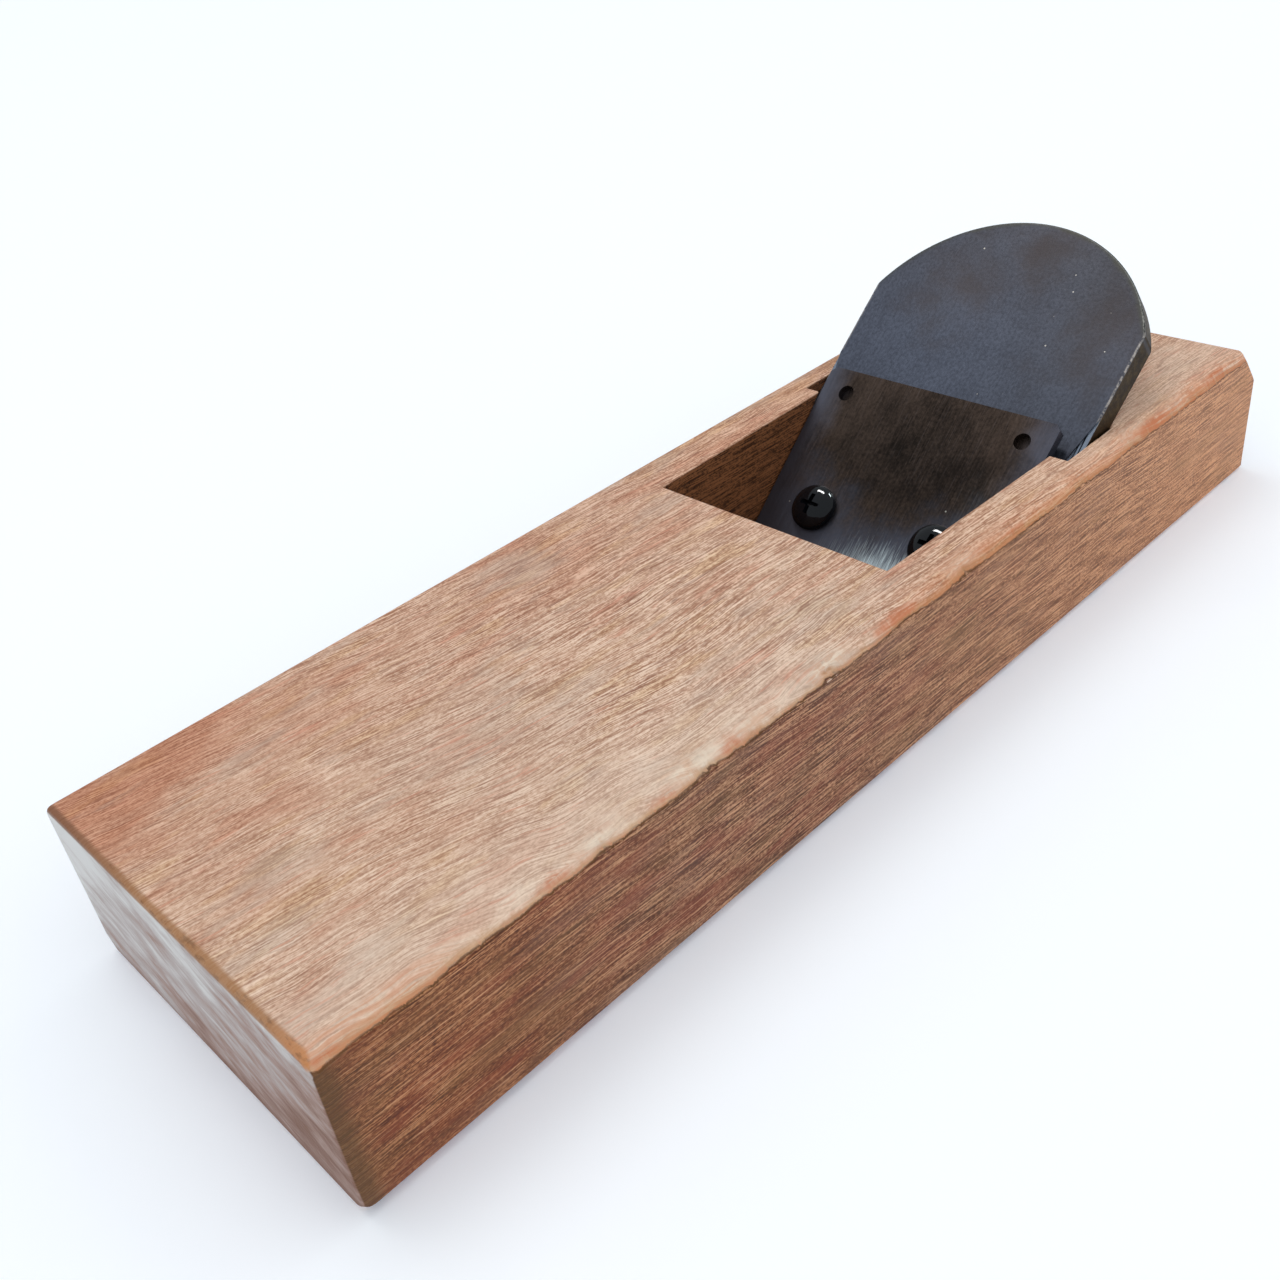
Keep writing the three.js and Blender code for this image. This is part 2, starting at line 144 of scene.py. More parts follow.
class Finish:
    # one material, with short ways to add its nodes; its lengths are millimetres
    def __init__(self, name):
        self.material = bpy.data.materials.new(name)
        self.material.use_nodes = True
        self.tree = self.material.node_tree
        self.tree.nodes.clear()
        metres = self.add("ShaderNodeTexCoord", {}, {}, "Object")
        self.place = self.vector("SCALE", metres, {"Scale": 1 / mm})
        self.x, self.y, self.z = self.parts(self.place)
        facing = self.add("ShaderNodeTexCoord", {}, {}, "Normal")
        self.facingX, self.facingY = self.parts(facing)[:2]

    def add(self, kind, settings, values, output=0):
        node = self.tree.nodes.new(kind)
        for name, value in settings.items():
            if name == "stops":
                self.setStops(node.color_ramp, value)
            else:
                setattr(node, name, value)
        for name, value in values.items():
            if isinstance(value, Wire):
                self.tree.links.new(value.socket, node.inputs[name])
            else:
                node.inputs[name].default_value = value
        return Wire(self, node.outputs[output])

    def setStops(self, ramp, stops):
        while len(ramp.elements) < len(stops):
            ramp.elements.new(1.0)
        for element, (position, colour) in zip(ramp.elements, stops):
            element.position = position
            element.color = colour

    def vector(self, operation, first, others, output=0):
        return self.add("ShaderNodeVectorMath", {"operation": operation}, {0: first, **others}, output)

    def parts(self, vector):
        node = self.add("ShaderNodeSeparateXYZ", {}, {0: vector}).socket.node
        return [Wire(self, socket) for socket in node.outputs]

    def join(self, x, y, z):
        return self.add("ShaderNodeCombineXYZ", {}, {0: x, 1: y, 2: z})

    def stretch(self, vector, shares):
        return self.vector("MULTIPLY", vector, {1: shares})

    def along(self, direction):
        # distance of the shaded point along a direction, in mm
        return self.vector("DOT_PRODUCT", self.place, {1: direction}, "Value")

    def distance(self, vector, centre):
        return self.vector("DISTANCE", vector, {1: centre}, "Value")

    def noise(self, vector, detail=2.0, roughness=0.5, distortion=0.0):
        values = {"Vector": vector, "Scale": 1.0, "Detail": detail}
        values.update({"Roughness": roughness, "Distortion": distortion})
        return self.add("ShaderNodeTexNoise", {}, values, "Fac")

    def grit(self, vector, rate, outer, inner):
        # scattered round specks, about rate of them to a millimetre
        values = {"Vector": vector, "Scale": rate, "Randomness": 1.0}
        return self.rise(self.add("ShaderNodeTexVoronoi", {}, values, "Distance"), outer, inner)

    def rise(self, value, low, high):
        # 0 below low, 1 above high, smooth between; high may be the lower one
        settings = {"interpolation_type": "SMOOTHSTEP"}
        return self.add("ShaderNodeMapRange", settings, {0: value, 1: low, 2: high, 3: 0.0, 4: 1.0})

    def mix(self, share, first, second, blend="MIX"):
        settings = {"data_type": "RGBA", "blend_type": blend}
        return self.add("ShaderNodeMix", settings, {0: share, 6: first, 7: second}, 2)

    def ramp(self, share, stops):
        return self.add("ShaderNodeValToRGB", {"stops": stops}, {0: share}, "Color")

    def bump(self, height, distance, strength):
        values = {"Height": height, "Distance": distance * mm, "Strength": strength}
        return self.add("ShaderNodeBump", {}, values)

    def surface(self, values):
        shader = self.add("ShaderNodeBsdfPrincipled", {}, values)
        output = self.tree.nodes.new("ShaderNodeOutputMaterial")
        self.tree.links.new(shader.socket, output.inputs["Surface"])
        return self.material


def makeStudio(values):
    half = values["floorSize"] / 2
    corners = [(-half, -half, 0), (half, -half, 0), (half, half, 0), (-half, half, 0)]
    mesh = bpy.data.meshes.new("floor")
    mesh.from_pydata(corners, [], [(0, 1, 2, 3)])
    floor = bpy.data.objects.new("floor", mesh)
    bpy.context.scene.collection.objects.link(floor)
    paper = Finish("palePaper")
    tone = (*values["floorColour"], 1.0)
    glow = (*values["floorGlow"], 1.0)
    sockets = {"Base Color": tone, "Roughness": 0.9, "Emission Color": glow, "Emission Strength": 1.0}
    mesh.materials.append(paper.surface(sockets))
    for name, place, strength, width, colour in values["suns"]:
        sun = bpy.data.lights.new(name, "SUN")
        sun.energy = strength
        sun.angle = math.radians(width)
        sun.color = colour
        hang(sun, place).visible_glossy = False
    for name, place, size, turn, watts, colour in values["tubes"]:
        tube = bpy.data.lights.new(name, "AREA")
        tube.shape = "RECTANGLE"
        tube.size, tube.size_y = size
        tube.energy = watts
        tube.color = colour
        hang(tube, place, roll=turn).visible_diffuse = False
    makeWorld(values)


def makeWorld(values):
    # one strength for its light, one for what mirrors see and one for what the camera sees
    world = bpy.data.worlds.new("world")
    world.use_nodes = True
    background = world.node_tree.nodes["Background"]
    background.inputs["Color"].default_value = (*values["worldColour"], 1.0)
    rays = world.node_tree.nodes.new("ShaderNodeLightPath")
    link = world.node_tree.links.new
    choices = []
    for ray, seen in (("Is Glossy Ray", "worldInGloss"), ("Is Camera Ray", "worldInView")):
        choice = world.node_tree.nodes.new("ShaderNodeMapRange")
        choice.inputs["To Min"].default_value = values["worldStrength"]
        choice.inputs["To Max"].default_value = values[seen]
        link(rays.outputs[ray], choice.inputs["Value"])
        choices.append(choice)
    inGloss, inView = choices
    link(inGloss.outputs[0], inView.inputs["To Min"])
    link(inView.outputs[0], background.inputs["Strength"])
    bpy.context.scene.world = world
    bpy.context.scene.view_settings.view_transform = "Standard"


print("stage: camera, floor and lamps")
makeCamera(cameraView)
makeStudio(studio)


# The block's oak: fine streaks along the grain, browner sides, grey ends, a worn edge
oakLook = {
    "palest": linear(234, 204, 181),
    "pale": linear(213, 177, 152),
    "middle": linear(193, 152, 126),
    "dark": linear(162, 116, 89),
    "pore": linear(144, 94, 68),
    "vein": linear(128, 76, 52),
    "pink": linear(204, 138, 112),
    # tint for the reddish patches, and painted shade darkening the left side of the top
    "blushAndShade": linear(232, 198, 182),  # this one tints what lies under it
    "ochreTint": linear(248, 240, 214),  # and so does this
    "greyed": linear(186, 166, 150),
    # painted light on the right side of the top's near half, over the wood's own paler tone
    "paleAndLit": linear(218, 197, 179),
    "tailWarm": linear(252, 236, 222),  # a tint too
    "sidePale": linear(194, 147, 112),
    "side": linear(125, 78, 53),
    "sideDark": linear(76, 41, 27),
    "sideRed": linear(138, 70, 52),
    "sideOlive": linear(124, 94, 62),
    # painted shade: warms and darkens the side toward the nose
    "sideNearWarmShade": linear(250, 230, 204),  # a tint
    "sideMauve": linear(118, 88, 76),
    # painted light: lightens the side toward the tail
    "sideFarLight": linear(234, 168, 120),
    "sideOchre": linear(92, 64, 36),
    "endPale": linear(212, 210, 208),
    "endGrey": linear(179, 168, 165),
    "endMauve": linear(160, 133, 123),
    "endBrown": linear(122, 84, 66),
    # the soft near edge from left to right
    "noseLeft": linear(124, 82, 58),
    "nose": linear(160, 113, 73),
    "corner": linear(196, 128, 74),
    # painted light on the top of the tail's right side
    "tailPaintedLight": linear(240, 208, 184),
    "orange": linear(190, 112, 74),
    "ochre": linear(180, 130, 80),
    "warmEdge": linear(196, 120, 76),
    "torn": linear(226, 208, 188),
    # painted shade for the crease under the worn edge; also the colour of the dark scuffs on the near
    # edge
    "crease": linear(98, 62, 30),
    # painted shade of the throat's walls: dark brown, and reddish along the streaks
    "throat": linear(66, 38, 20),
    "throatShadeRed": linear(142, 92, 58),
    # places on the block in mm
    "slantFrom": 48.0,  # the grain runs straight behind this place and slants ahead of it
    "slantEase": 24.0,
    "slant": 0.13,
    # how far the grain lines are bent, and how much more beside the near half's worn edge
    "wander": 8.0,
    "ripple": 1.2,
    "rippleNear": 3.0,
    "flutter": 0.45,
    "greyPatch": (82.0, 8.0, 34.0),
    # reddish patches: place on the block and reach
    "blushPatches": [((126, -34, 34), 9), ((112, -38, 34), 9), ((84, -26, 34), 5), ((30, -30, 34), 6)],
    "warmPatches": [((120, 6, 34), 3), ((104, -8, 34), 3), ((92, 18, 34), 2)],
    "tornPatches": [(25.9, 4.4), (46.0, 3.4), (58.5, 7.0), (80.0, 3.6), (-13.7, 5.0), (-76.0, 5.5)],
    "orangePatches": [
        (8.0, 10.0), (-84.0, 9.0), (-30.0, 5.0), (-112.0, 8.0), (130.0, 4.0),
        (52.0, 5.0), (89.0, 5.0), (66.0, 4.5),
    ],
    "edgeDrop": 2.5,  # how far the worn edge comes down the side at the middle
    "edgeDropSlope": 0.0068,
    "edgeRagged": 1.6,
    "edgeTorn": 1.4,
    "throatHalf": 35.5,
    "throatFrom": -2.0,
    "throatTo": -124.0,
}


class Grain:
    # the wood's fields that the tones below share, all from one set of bent grain lines
    def __init__(self, oak, look):
        self.oak = oak
        x, y, z = oak.x, oak.y, oak.z
        past = x - look["slantFrom"]
        ahead = past.maths("SMOOTH_MAX", past, 0.0, look["slantEase"])
        wander = self.patches((0.017, 0.017, 0.017), 0.0, 1.0)
        ripple = self.patches((0.075, 0.05, 0.05), 0.0, 1.0)
        flutter = self.patches((0.2, 0.16, 0.16), 9.0, 1.0)
        nearEdge = oak.rise(y, 12.0, 36.0) * oak.rise(z, 32.0, 33.5) * oak.rise(x, 5.0, 30.0)
        shift = (wander - 0.5) * look["wander"]
        shift = shift + (ripple - 0.5) * (look["ripple"] + nearEdge * look["rippleNear"])
        shift = shift + (flutter - 0.5) * look["flutter"]
        self.ripple = ripple
        # the distance across the grain, read over the top on flat faces and down the sides
        over = y + x * 0.03 + ahead * look["slant"] + shift
        down = z - x * 0.03 + shift * 0.5 + 60.0
        onSide = oak.rise(abs(oak.facingY), 0.62, 0.64)
        self.lines = oak.join(x, over + (down - over) * onSide, 0.0)
        self.fine = self.streaks(18.0, 0.52, 3.0)
        self.thread = self.streaks(8.5, 0.27, 2.0, 55.0)
        self.pinks = self.streaks(9.0, 0.9, 2.0, 40.0)
        self.mottle = self.patches((0.14, 0.2, 0.2), 0.0)
        self.cloud = self.patches((0.022, 0.035, 0.035), 0.0)
        self.hue = self.patches((0.045, 0.17, 0.2), 31.0)
        self.grey = self.patches((0.04, 0.14, 0.17), 47.0)
        # some areas show strong lines and others nearly none
        lively = oak.rise(self.patches((0.05, 0.09, 0.09), 20.0), 0.36, 0.6) * 0.4 + 0.6
        lively = lively * (1 - oak.rise(x, 45.0, 105.0) * 0.42)
        softer = (self.streaks(30.0, 1.1, 2.0, 12.0) - 0.5) * 0.13 + (self.mottle - 0.5) * 0.12
        speckle = (self.patches((1.3, 2.6, 2.6), 5.0, 1.0) - 0.5) * (lively + 0.3)
        lines = (self.fine - 0.5) * 0.52 + (self.thread - 0.5) * 1.15
        self.streak = oak.rise(lines * lively + softer + speckle * 0.42, -0.19, 0.19)
        # thin dark veins and short pores
        veins = oak.rise(abs(self.streaks(18.0, 1.4, 1.0, 70.0) - 0.5), 0.045, 0.015)
        self.veins = veins * oak.rise(self.streaks(9.0, 0.8, 1.0, 30.0), 0.5, 0.56) * lively
        self.poreMask = oak.rise(self.streaks(6.5, 0.24, 1.0, 90.0), 0.38, 0.31) * lively

    def streaks(self, length, width, detail, away=0.0):
        shares = (1 / length, 1 / width, 0.0)
        moved = self.oak.vector("ADD", self.oak.stretch(self.lines, shares), {1: (away, away, 0.0)})
        return self.oak.noise(moved, detail, 0.55)

    def patches(self, rates, away, detail=3.0):
        moved = self.oak.vector("ADD", self.oak.stretch(self.oak.place, rates), {1: (away, away, away)})
        return self.oak.noise(moved, detail, 0.6)


def nearestOf(finish, vector, centres, size, soft):
    # 1 around each of the centres, 0 elsewhere
    gaps = [finish.distance(vector, centre) - reach for centre, reach in centres]
    return functools.reduce(Wire.larger, [finish.rise(gap + soft, size, -size) for gap in gaps])


def topTone(oak, grain, look):
    stops = [(0.0, look["dark"]), (0.34, look["middle"]), (0.64, look["pale"]), (1.0, look["palest"])]
    tone = oak.ramp(grain.streak, stops)
    # colour patches: reddish, ochre and grey
    rough = (grain.cloud - 0.5) * 60.0
    blushAndShade = nearestOf(oak, oak.place, look["blushPatches"], 14.0, rough) * 0.8
    blushAndShade = blushAndShade + nearestOf(oak, oak.place, look["warmPatches"], 5.0, rough * 0.3) * 0.4
    # painted shade: the top redder and darker toward its left side
    blushAndShade = blushAndShade + oak.rise(oak.y + (grain.cloud - 0.5) * 60.0, 10.0, -42.0) * 0.3
    blushAndShade = blushAndShade + oak.rise(grain.hue, 0.52, 0.68) * 0.42
    tone = oak.mix(blushAndShade, tone, look["blushAndShade"], "MULTIPLY")
    tone = oak.mix(oak.rise(grain.hue, 0.48, 0.34) * 0.6, tone, look["ochreTint"], "MULTIPLY")
    grey = nearestOf(oak, oak.place, [(look["greyPatch"], 8.0)], 16.0, rough) * 0.35
    grey = grey + oak.rise(grain.grey, 0.52, 0.7) * 0.4
    tone = oak.mix(grey, tone, look["greyed"])
    # painted light: the top paler toward its right side, over the wood's own paler tone there
    paleAndLitShare = oak.rise(oak.y + (grain.mottle - 0.5) * 18.0, 16.0, 38.0)
    paleAndLitShare = paleAndLitShare * oak.rise(oak.x, 0.0, 40.0)
    tone = oak.mix(paleAndLitShare * 0.35, tone, look["paleAndLit"])
    tone = oak.mix(grain.poreMask * 0.55 * (1 - paleAndLitShare * 0.5), tone, look["pore"])
    tone = oak.mix(grain.veins * 0.6 * (1 - paleAndLitShare * 0.4), tone, look["vein"])
    tone = oak.mix(oak.rise(oak.x, 8.0, -20.0) * 0.4, tone, look["tailWarm"], "MULTIPLY")
    # painted light: the top of the tail paler on its right side, beside the iron
    tailRightLit = oak.rise(oak.y, 16.0, 34.0) * oak.rise(oak.x, -30.0, -90.0)
    tone = oak.mix(tailRightLit * 0.3, tone, look["tailPaintedLight"])
    pinkMask = oak.rise(grain.pinks + (grain.hue - 0.5) * 0.5, 0.62, 0.74)
    return oak.mix(pinkMask * 0.5, tone, look["pink"])


def sideTone(oak, grain, look, low):
    stops = [(0.05, look["sideDark"]), (0.45, look["side"]), (0.95, look["sidePale"])]
    tone = oak.ramp(grain.streak, stops)
    red = oak.rise(grain.hue, 0.44, 0.68)
    tone = oak.mix(red * 0.5 * oak.rise(oak.x, -80.0, 60.0), tone, look["sideRed"])
    tone = oak.mix(oak.rise(grain.hue, 0.5, 0.3) * 0.4, tone, look["sideOlive"])
    tone = oak.mix(oak.rise(grain.grey, 0.5, 0.7) * 0.35, tone, look["sideMauve"])
    # painted shade: the side warmer and darker toward the nose
    tone = oak.mix(oak.rise(oak.x, 60.0, 120.0), tone, look["sideNearWarmShade"], "MULTIPLY")
    # painted light: the side lighter toward the tail
    far = oak.rise(oak.x, 50.0, low.x - 20.0)
    tone = oak.mix(far * 0.42 * (0.55 + grain.streak * 0.9), tone, look["sideFarLight"])
    glints = oak.rise(grain.fine + (grain.thread - 0.5) * 0.8, 0.6, 0.72)
    tone = oak.mix(glints * 0.55, tone, look["sidePale"])
    ochre = oak.rise(oak.x + (grain.cloud - 0.5) * 20.0, 118.0, 131.0)
    tone = oak.mix(ochre * 0.4, tone, look["sideOchre"])
    tone = oak.mix(oak.rise(oak.x + grain.fine * 3.0, 129.5, 132.5) * 0.7, tone, look["sideOchre"])
    marks = (grain.poreMask * 0.55 + grain.veins * 0.4) * (0.4 + oak.rise(oak.x, -70.0, 30.0) * 0.6)
    return oak.mix(marks, tone, look["sideDark"])


def endTone(oak, look, low):
    # weathered end grain: pale streaks lying along the end, browner low down and to the right
    slanted = oak.join(oak.x * 0.2, oak.y * 0.085, oak.z * 0.3 + oak.y * 0.07)
    layers = oak.noise(slanted, 4.0, 0.62, 0.6)
    coarse = oak.noise(oak.stretch(slanted, (1.0, 0.5, 0.4)), 2.0)
    wisps = oak.noise(oak.stretch(slanted, (3.0, 3.0, 3.4)), 3.0, 0.6)
    right = oak.y * 0.0045 + (oak.z - 17.0) * -0.0085 + oak.rise(oak.x, 0.0, -1.0) * 0.12
    share = oak.rise(layers * 0.6 + coarse * 0.55 + wisps * 0.28 + right, 0.4, 1.09)
    pales = [(0.0, look["endPale"]), (0.35, look["endGrey"])]
    browns = [(0.68, look["endMauve"]), (1.0, look["endBrown"])]
    tone = oak.ramp(share, pales + browns)
    return oak.mix(oak.rise(oak.z, low.z + 4.5, low.z + 1.5) * 0.6, tone, look["endBrown"])


def makeOak(look, box):
    oak = Finish("oak")
    low, high = [corner / mm for corner in box]
    x, y, z = oak.x, oak.y, oak.z
    grain = Grain(oak, look)
    # how far a point lies below the top, against the ragged line that ends the worn edge
    along = oak.join(x, 7.0, 2.0)
    ragged = oak.noise(oak.stretch(along, (0.1, 1.0, 1.0)), 1.0)
    torn = oak.noise(oak.stretch(along, (0.6, 1.0, 1.0)), 3.0, 0.65)
    edgeAt = look["edgeDrop"] - x * look["edgeDropSlope"]
    edgeAt = edgeAt + (ragged - 0.5) * look["edgeRagged"] + (torn - 0.5) * look["edgeTorn"]
    past = (high.z - z) - edgeAt
    nearSide = oak.rise(y, high.y - 5.0, high.y - 3.0)
    rightSide = oak.rise(past, -0.08, 0.12) * oak.rise(oak.facingY, 0.2, 0.4)
    leftSide = oak.rise(oak.facingY, -0.5, -0.75)
    sideMask = rightSide.larger(leftSide)
    tone = oak.mix(sideMask, topTone(oak, grain, look), sideTone(oak, grain, look, low))
    endMask = oak.rise(abs(oak.facingX), 0.55, 0.85)
    notEnd = 1 - endMask
    # torn pale wood and orange rubbed wood along the worn edge, and painted shade in the crease under
    # it
    behind = oak.rise(x, 14.0, -6.0)
    warmEnds = behind.larger(oak.rise(x, 98.0, 118.0))
    atTail = oak.rise(x + (grain.mottle - 0.5) * 24.0, -66.0, -84.0)
    upper = oak.rise(past, 0.05, -0.15) * nearSide * notEnd
    lengthwise = oak.join(x, 0.0, (y - 39.0) * 1.4 + past * 0.8)
    rough = (grain.mottle - 0.5) * 5.0 + (torn - 0.5) * 4.0
    drawn = oak.stretch(lengthwise, (0.55, 1.0, 1.0))
    places = [((at * 0.55, 0.0, -2.2), reach * 0.5) for at, reach in look["tornPatches"]]
    tornBand = oak.rise(y, high.y - 7.0, high.y - 4.0) * oak.rise(past, 0.05, -0.15) * notEnd
    tornMask = nearestOf(oak, drawn, places, 1.6, rough) * tornBand
    moved = y + (grain.mottle - 0.5) * 10.0 + (grain.cloud - 0.5) * 8.0
    rubbedPale = oak.rise(moved, high.y - 4.5, high.y - 1.2) * tornBand * oak.rise(x, 2.0, 20.0)
    tornShade = oak.rise(grain.mottle + (torn - 0.5) * 0.5 + (grain.fine - 0.5) * 0.4, 0.36, 0.56)
    tornTone = oak.mix(tornShade, look["pale"], look["torn"])
    tone = oak.mix(tornMask * 0.6 + rubbedPale * 0.3, tone, tornTone)
    reddened = nearestOf(oak, drawn, places, 1.6, rough - 1.0) * tornBand * (1 - tornMask)
    tone = oak.mix(reddened * 0.35 * oak.rise(grain.pinks, 0.42, 0.6), tone, look["orange"])
    flat = oak.stretch(lengthwise, (0.5, 1.0, 1.3))
    places = [((at * 0.5, 0.0, -0.7), reach * 0.32) for at, reach in look["orangePatches"]]
    orangeMask = nearestOf(oak, flat, places, 1.0, rough * 0.5) * upper
    worn = ragged + (torn - 0.5) * 0.7 + warmEnds * 0.14 + atTail * 0.16
    rubbed = oak.rise(past, -1.0, -0.2) * upper * oak.rise(worn, 0.45, 0.58)
    orangeMask = orangeMask.larger(rubbed * (0.6 + atTail * 0.3)) * (1 - tornMask * 0.4)
    warmBand = oak.rise(past, -4.2, -1.0) * nearSide * notEnd * warmEnds * (1 - sideMask)
    warmBand = warmBand * oak.rise(grain.fine + (torn - 0.5) * 0.4, 0.34, 0.58)
    tone = oak.mix(warmBand * (0.55 + atTail * 0.25), tone, look["warmEdge"])
    ochre = oak.rise(past, -1.1 - warmEnds * 0.5, -0.1) * upper
    tone = oak.mix(ochre * 0.6, tone, look["ochre"])
    patchy = oak.rise(grain.fine * 0.5 + torn * 0.5, 0.36, 0.58)
    tone = oak.mix(orangeMask * 0.85 * patchy, tone, look["orange"])
    # painted shade: a dark line in the crease under the worn edge
    crease = oak.rise(abs(past - 0.05), 0.24, 0.06) * nearSide * notEnd
    crease = crease * (0.45 + oak.rise(torn, 0.42, 0.56) * 0.5)
    tone = oak.mix(crease, tone, look["crease"])
    # ends, and the soft brown edge over the near end
    tone = oak.mix(endMask, tone, endTone(oak, look, low))
    noseGap = (high.x - x) + (high.z - z) + (grain.ripple - 0.5) * 0.9
    noseTone = oak.mix(oak.rise(y, -38.0, 0.0), look["noseLeft"], look["nose"])
    noseTone = oak.mix(oak.rise(y, 26.0, 40.0) * 0.8, noseTone, look["corner"])
    scuff = oak.noise(oak.stretch(oak.place, (0.9, 0.28, 0.9)), 3.0, 0.65)
    noseTone = oak.mix(oak.rise(scuff, 0.5, 0.66) * 0.55, noseTone, look["crease"])
    noseMask = oak.rise(noseGap, 1.9, 1.1) * oak.rise(oak.facingX, 0.98, 0.85)
    tone = oak.mix(noseMask * 0.85, tone, noseTone)
    # inside the throat: painted shade, dark brown and reddish along the grain
    inside = oak.rise(abs(y), look["throatHalf"], look["throatHalf"] - 0.5)
    inside = inside * oak.rise(z, high.z - 0.3, high.z - 0.6) * oak.rise(z, low.z + 0.2, low.z + 0.6)
    inside = inside * oak.rise(x, look["throatFrom"], look["throatFrom"] - 0.6)
    inside = inside * oak.rise(x, look["throatTo"], look["throatTo"] + 1.0)
    throatShadeTone = oak.mix(oak.rise(grain.streak, 0.1, 0.8), look["throat"], look["throatShadeRed"])
    tone = oak.mix(inside, tone, throatShadeTone)
    height = grain.fine * 0.5 + grain.thread * 0.6 - grain.poreMask * 0.5
    height = height + (torn + grain.mottle) * tornMask * 3.0 - crease * 1.2
    relief = oak.bump(height, 0.2, 0.5)
    sheen = 0.62 - sideMask * 0.08 + tornMask * 0.1 + (grain.fine - 0.5) * 0.15
    values = {"Base Color": tone, "Roughness": sheen, "Normal": relief, "Specular IOR Level": 0.22}
    return oak.surface(values)


def steelPlace(finish, slope, foot):
    # distance up a slope that starts at foot on the sole line, and height off its face, in mm
    lean = math.radians(slope)
    up = finish.along((-math.cos(lean), 0, math.sin(lean))) + foot * math.cos(lean)
    off = finish.along((math.sin(lean), 0, math.cos(lean))) - foot * math.sin(lean)
    return up, off


# The iron: dark bluish steel with brown patina, bare where its edge is rubbed
ironLook = {
    "slope": 37.8,
    "foot": -21.4,
    "blue": linear(85, 90, 104),
    "deep": linear(71, 75, 87),
    "brown": linear(78, 70, 69),
    "headTint": linear(212, 204, 197),
    "rightTint": linear(232, 229, 225),
    "edgeDark": linear(42, 30, 16),
    "edgeOlive": linear(70, 54, 27),
    "rimOlive": linear(66, 66, 54),
    "bare": linear(170, 162, 154),
    "facet": linear(150, 160, 176),
    "facetLine": linear(40, 42, 50),
    "dust": linear(206, 200, 190),
    "half": 34.15,
    "headCentre": 66.4,
    "headRadius": 37.6,
    "facetTop": 62.0,
    "facetInner": 28.8,  # half the width between the ground facets
    "headFrom": (80.0, 84.0),  # up the face, where its sides become the round head
    "rubbedBelow": (93.0, 83.0),
    "headTintFrom": (62.0, 104.0),
    "rightTintFrom": (-12.0, 24.0),  # across the face
    # brown blotches: distance up the face and across it, and size
    "blotches": [((85.4, -13.3, 0.0), 13.0), ((97.5, 3.5, 0.0), 11.0), ((80.0, 27.0, 0.0), 15.0)],
}


def makeDarkSteel(look):
    steel = Finish("darkSteel")
    up, off = steelPlace(steel, look["slope"], look["foot"])
    flat = steel.join(up, steel.y, off)
    mottle = steel.noise(steel.stretch(flat, (0.11, 0.11, 0.11)), 4.0, 0.6)
    speck = steel.noise(steel.stretch(flat, (1.1, 1.4, 1.1)), 3.0, 0.6)
    brush = steel.noise(steel.stretch(flat, (0.09, 3.2, 1.0)), 2.0, 0.6)
    share = steel.rise(mottle * 0.6 + speck * 0.9 + brush * 0.4, 0.72, 1.18)
    tone = steel.mix(share, look["deep"], look["blue"])
    soft = (mottle - 0.5) * 36.0
    spots = [
        nearestOf(steel, flat, [(centre, size / 2)], size, soft) for centre, size in look["blotches"]
    ]
    blotches = functools.reduce(Wire.larger, spots)
    tone = steel.mix(blotches * 0.6, tone, look["brown"])
    tone = steel.mix(steel.rise(up, *look["headTintFrom"]), tone, look["headTint"], "MULTIPLY")
    tone = steel.mix(steel.rise(steel.y, *look["rightTintFrom"]), tone, look["rightTint"], "MULTIPLY")
    front = steel.rise(off, -0.9, -0.3)
    rough = 0.42 + (speck - 0.5) * 0.18 + blotches * 0.08
    # the rim: dark on the sides, bare metal along the rubbed front edge
    radial = steel.join(up - look["headCentre"], steel.y, 0.0)
    rimHead = look["headRadius"] - steel.vector("LENGTH", radial, {}, "Value")
    rimSide = look["half"] - abs(steel.y)
    onHead = steel.rise(up, *look["headFrom"])
    rim = rimHead * onHead + rimSide * (1 - onHead)
    sideFace = steel.rise(rim, 0.12, 0.02) * steel.rise(off, -0.3, -0.7)
    rimBand = steel.rise(rim + (mottle - 0.5) * 1.6, 1.5, 0.3) * front * onHead
    tone = steel.mix(rimBand * 0.5, tone, look["rimOlive"])
    crust = steel.noise(steel.stretch(steel.place, (0.5, 0.5, 0.5)), 4.0, 0.65)
    edgeTone = steel.mix(steel.rise(crust, 0.36, 0.7), look["edgeDark"], look["edgeOlive"])
    tone = steel.mix(sideFace, tone, edgeTone)
    rub = steel.rise(rim + (speck - 0.5) * 0.8, 0.5, 0.1) * front * (1 - sideFace)
    rub = rub * steel.rise(up, *look["rubbedBelow"]) * steel.rise(speck, 0.38, 0.6)
    tone = steel.mix(rub * 0.8, tone, look["bare"])
    # the ground facets on the front edges
    facetTop, facetInner = look["facetTop"], look["facetInner"]
    facet = steel.rise(off, -0.25, -0.33) * steel.rise(off, -1.4, -1.2)
    facet = facet * steel.rise(up, facetTop + 0.4, facetTop - 0.4) * steel.rise(rim, 0.0, 0.1)
    facet = facet * steel.rise(abs(steel.y), facetInner - 0.1, facetInner + 0.1)
    steps = steel.noise(steel.join(up * 0.03 + abs(steel.y) * 2.2, up * 0.04, 3.0), 1.0)
    facetTone = steel.mix(steel.rise(steps, 0.5, 0.4), look["facet"], look["facetLine"])
    tone = steel.mix(facet, tone, facetTone)
    dust = steel.grit(flat, 0.19, 0.045, 0.03) * front
    tone = steel.mix(dust * 0.7, tone, look["dust"])
    rough = rough - facet * 0.2 + sideFace * 0.1
    relief = steel.bump(brush * 0.4 + speck * 0.6 + mottle * 1.5, 0.08, 0.5)
    return steel.surface({"Base Color": tone, "Metallic": 0.85, "Roughness": rough, "Normal": relief})


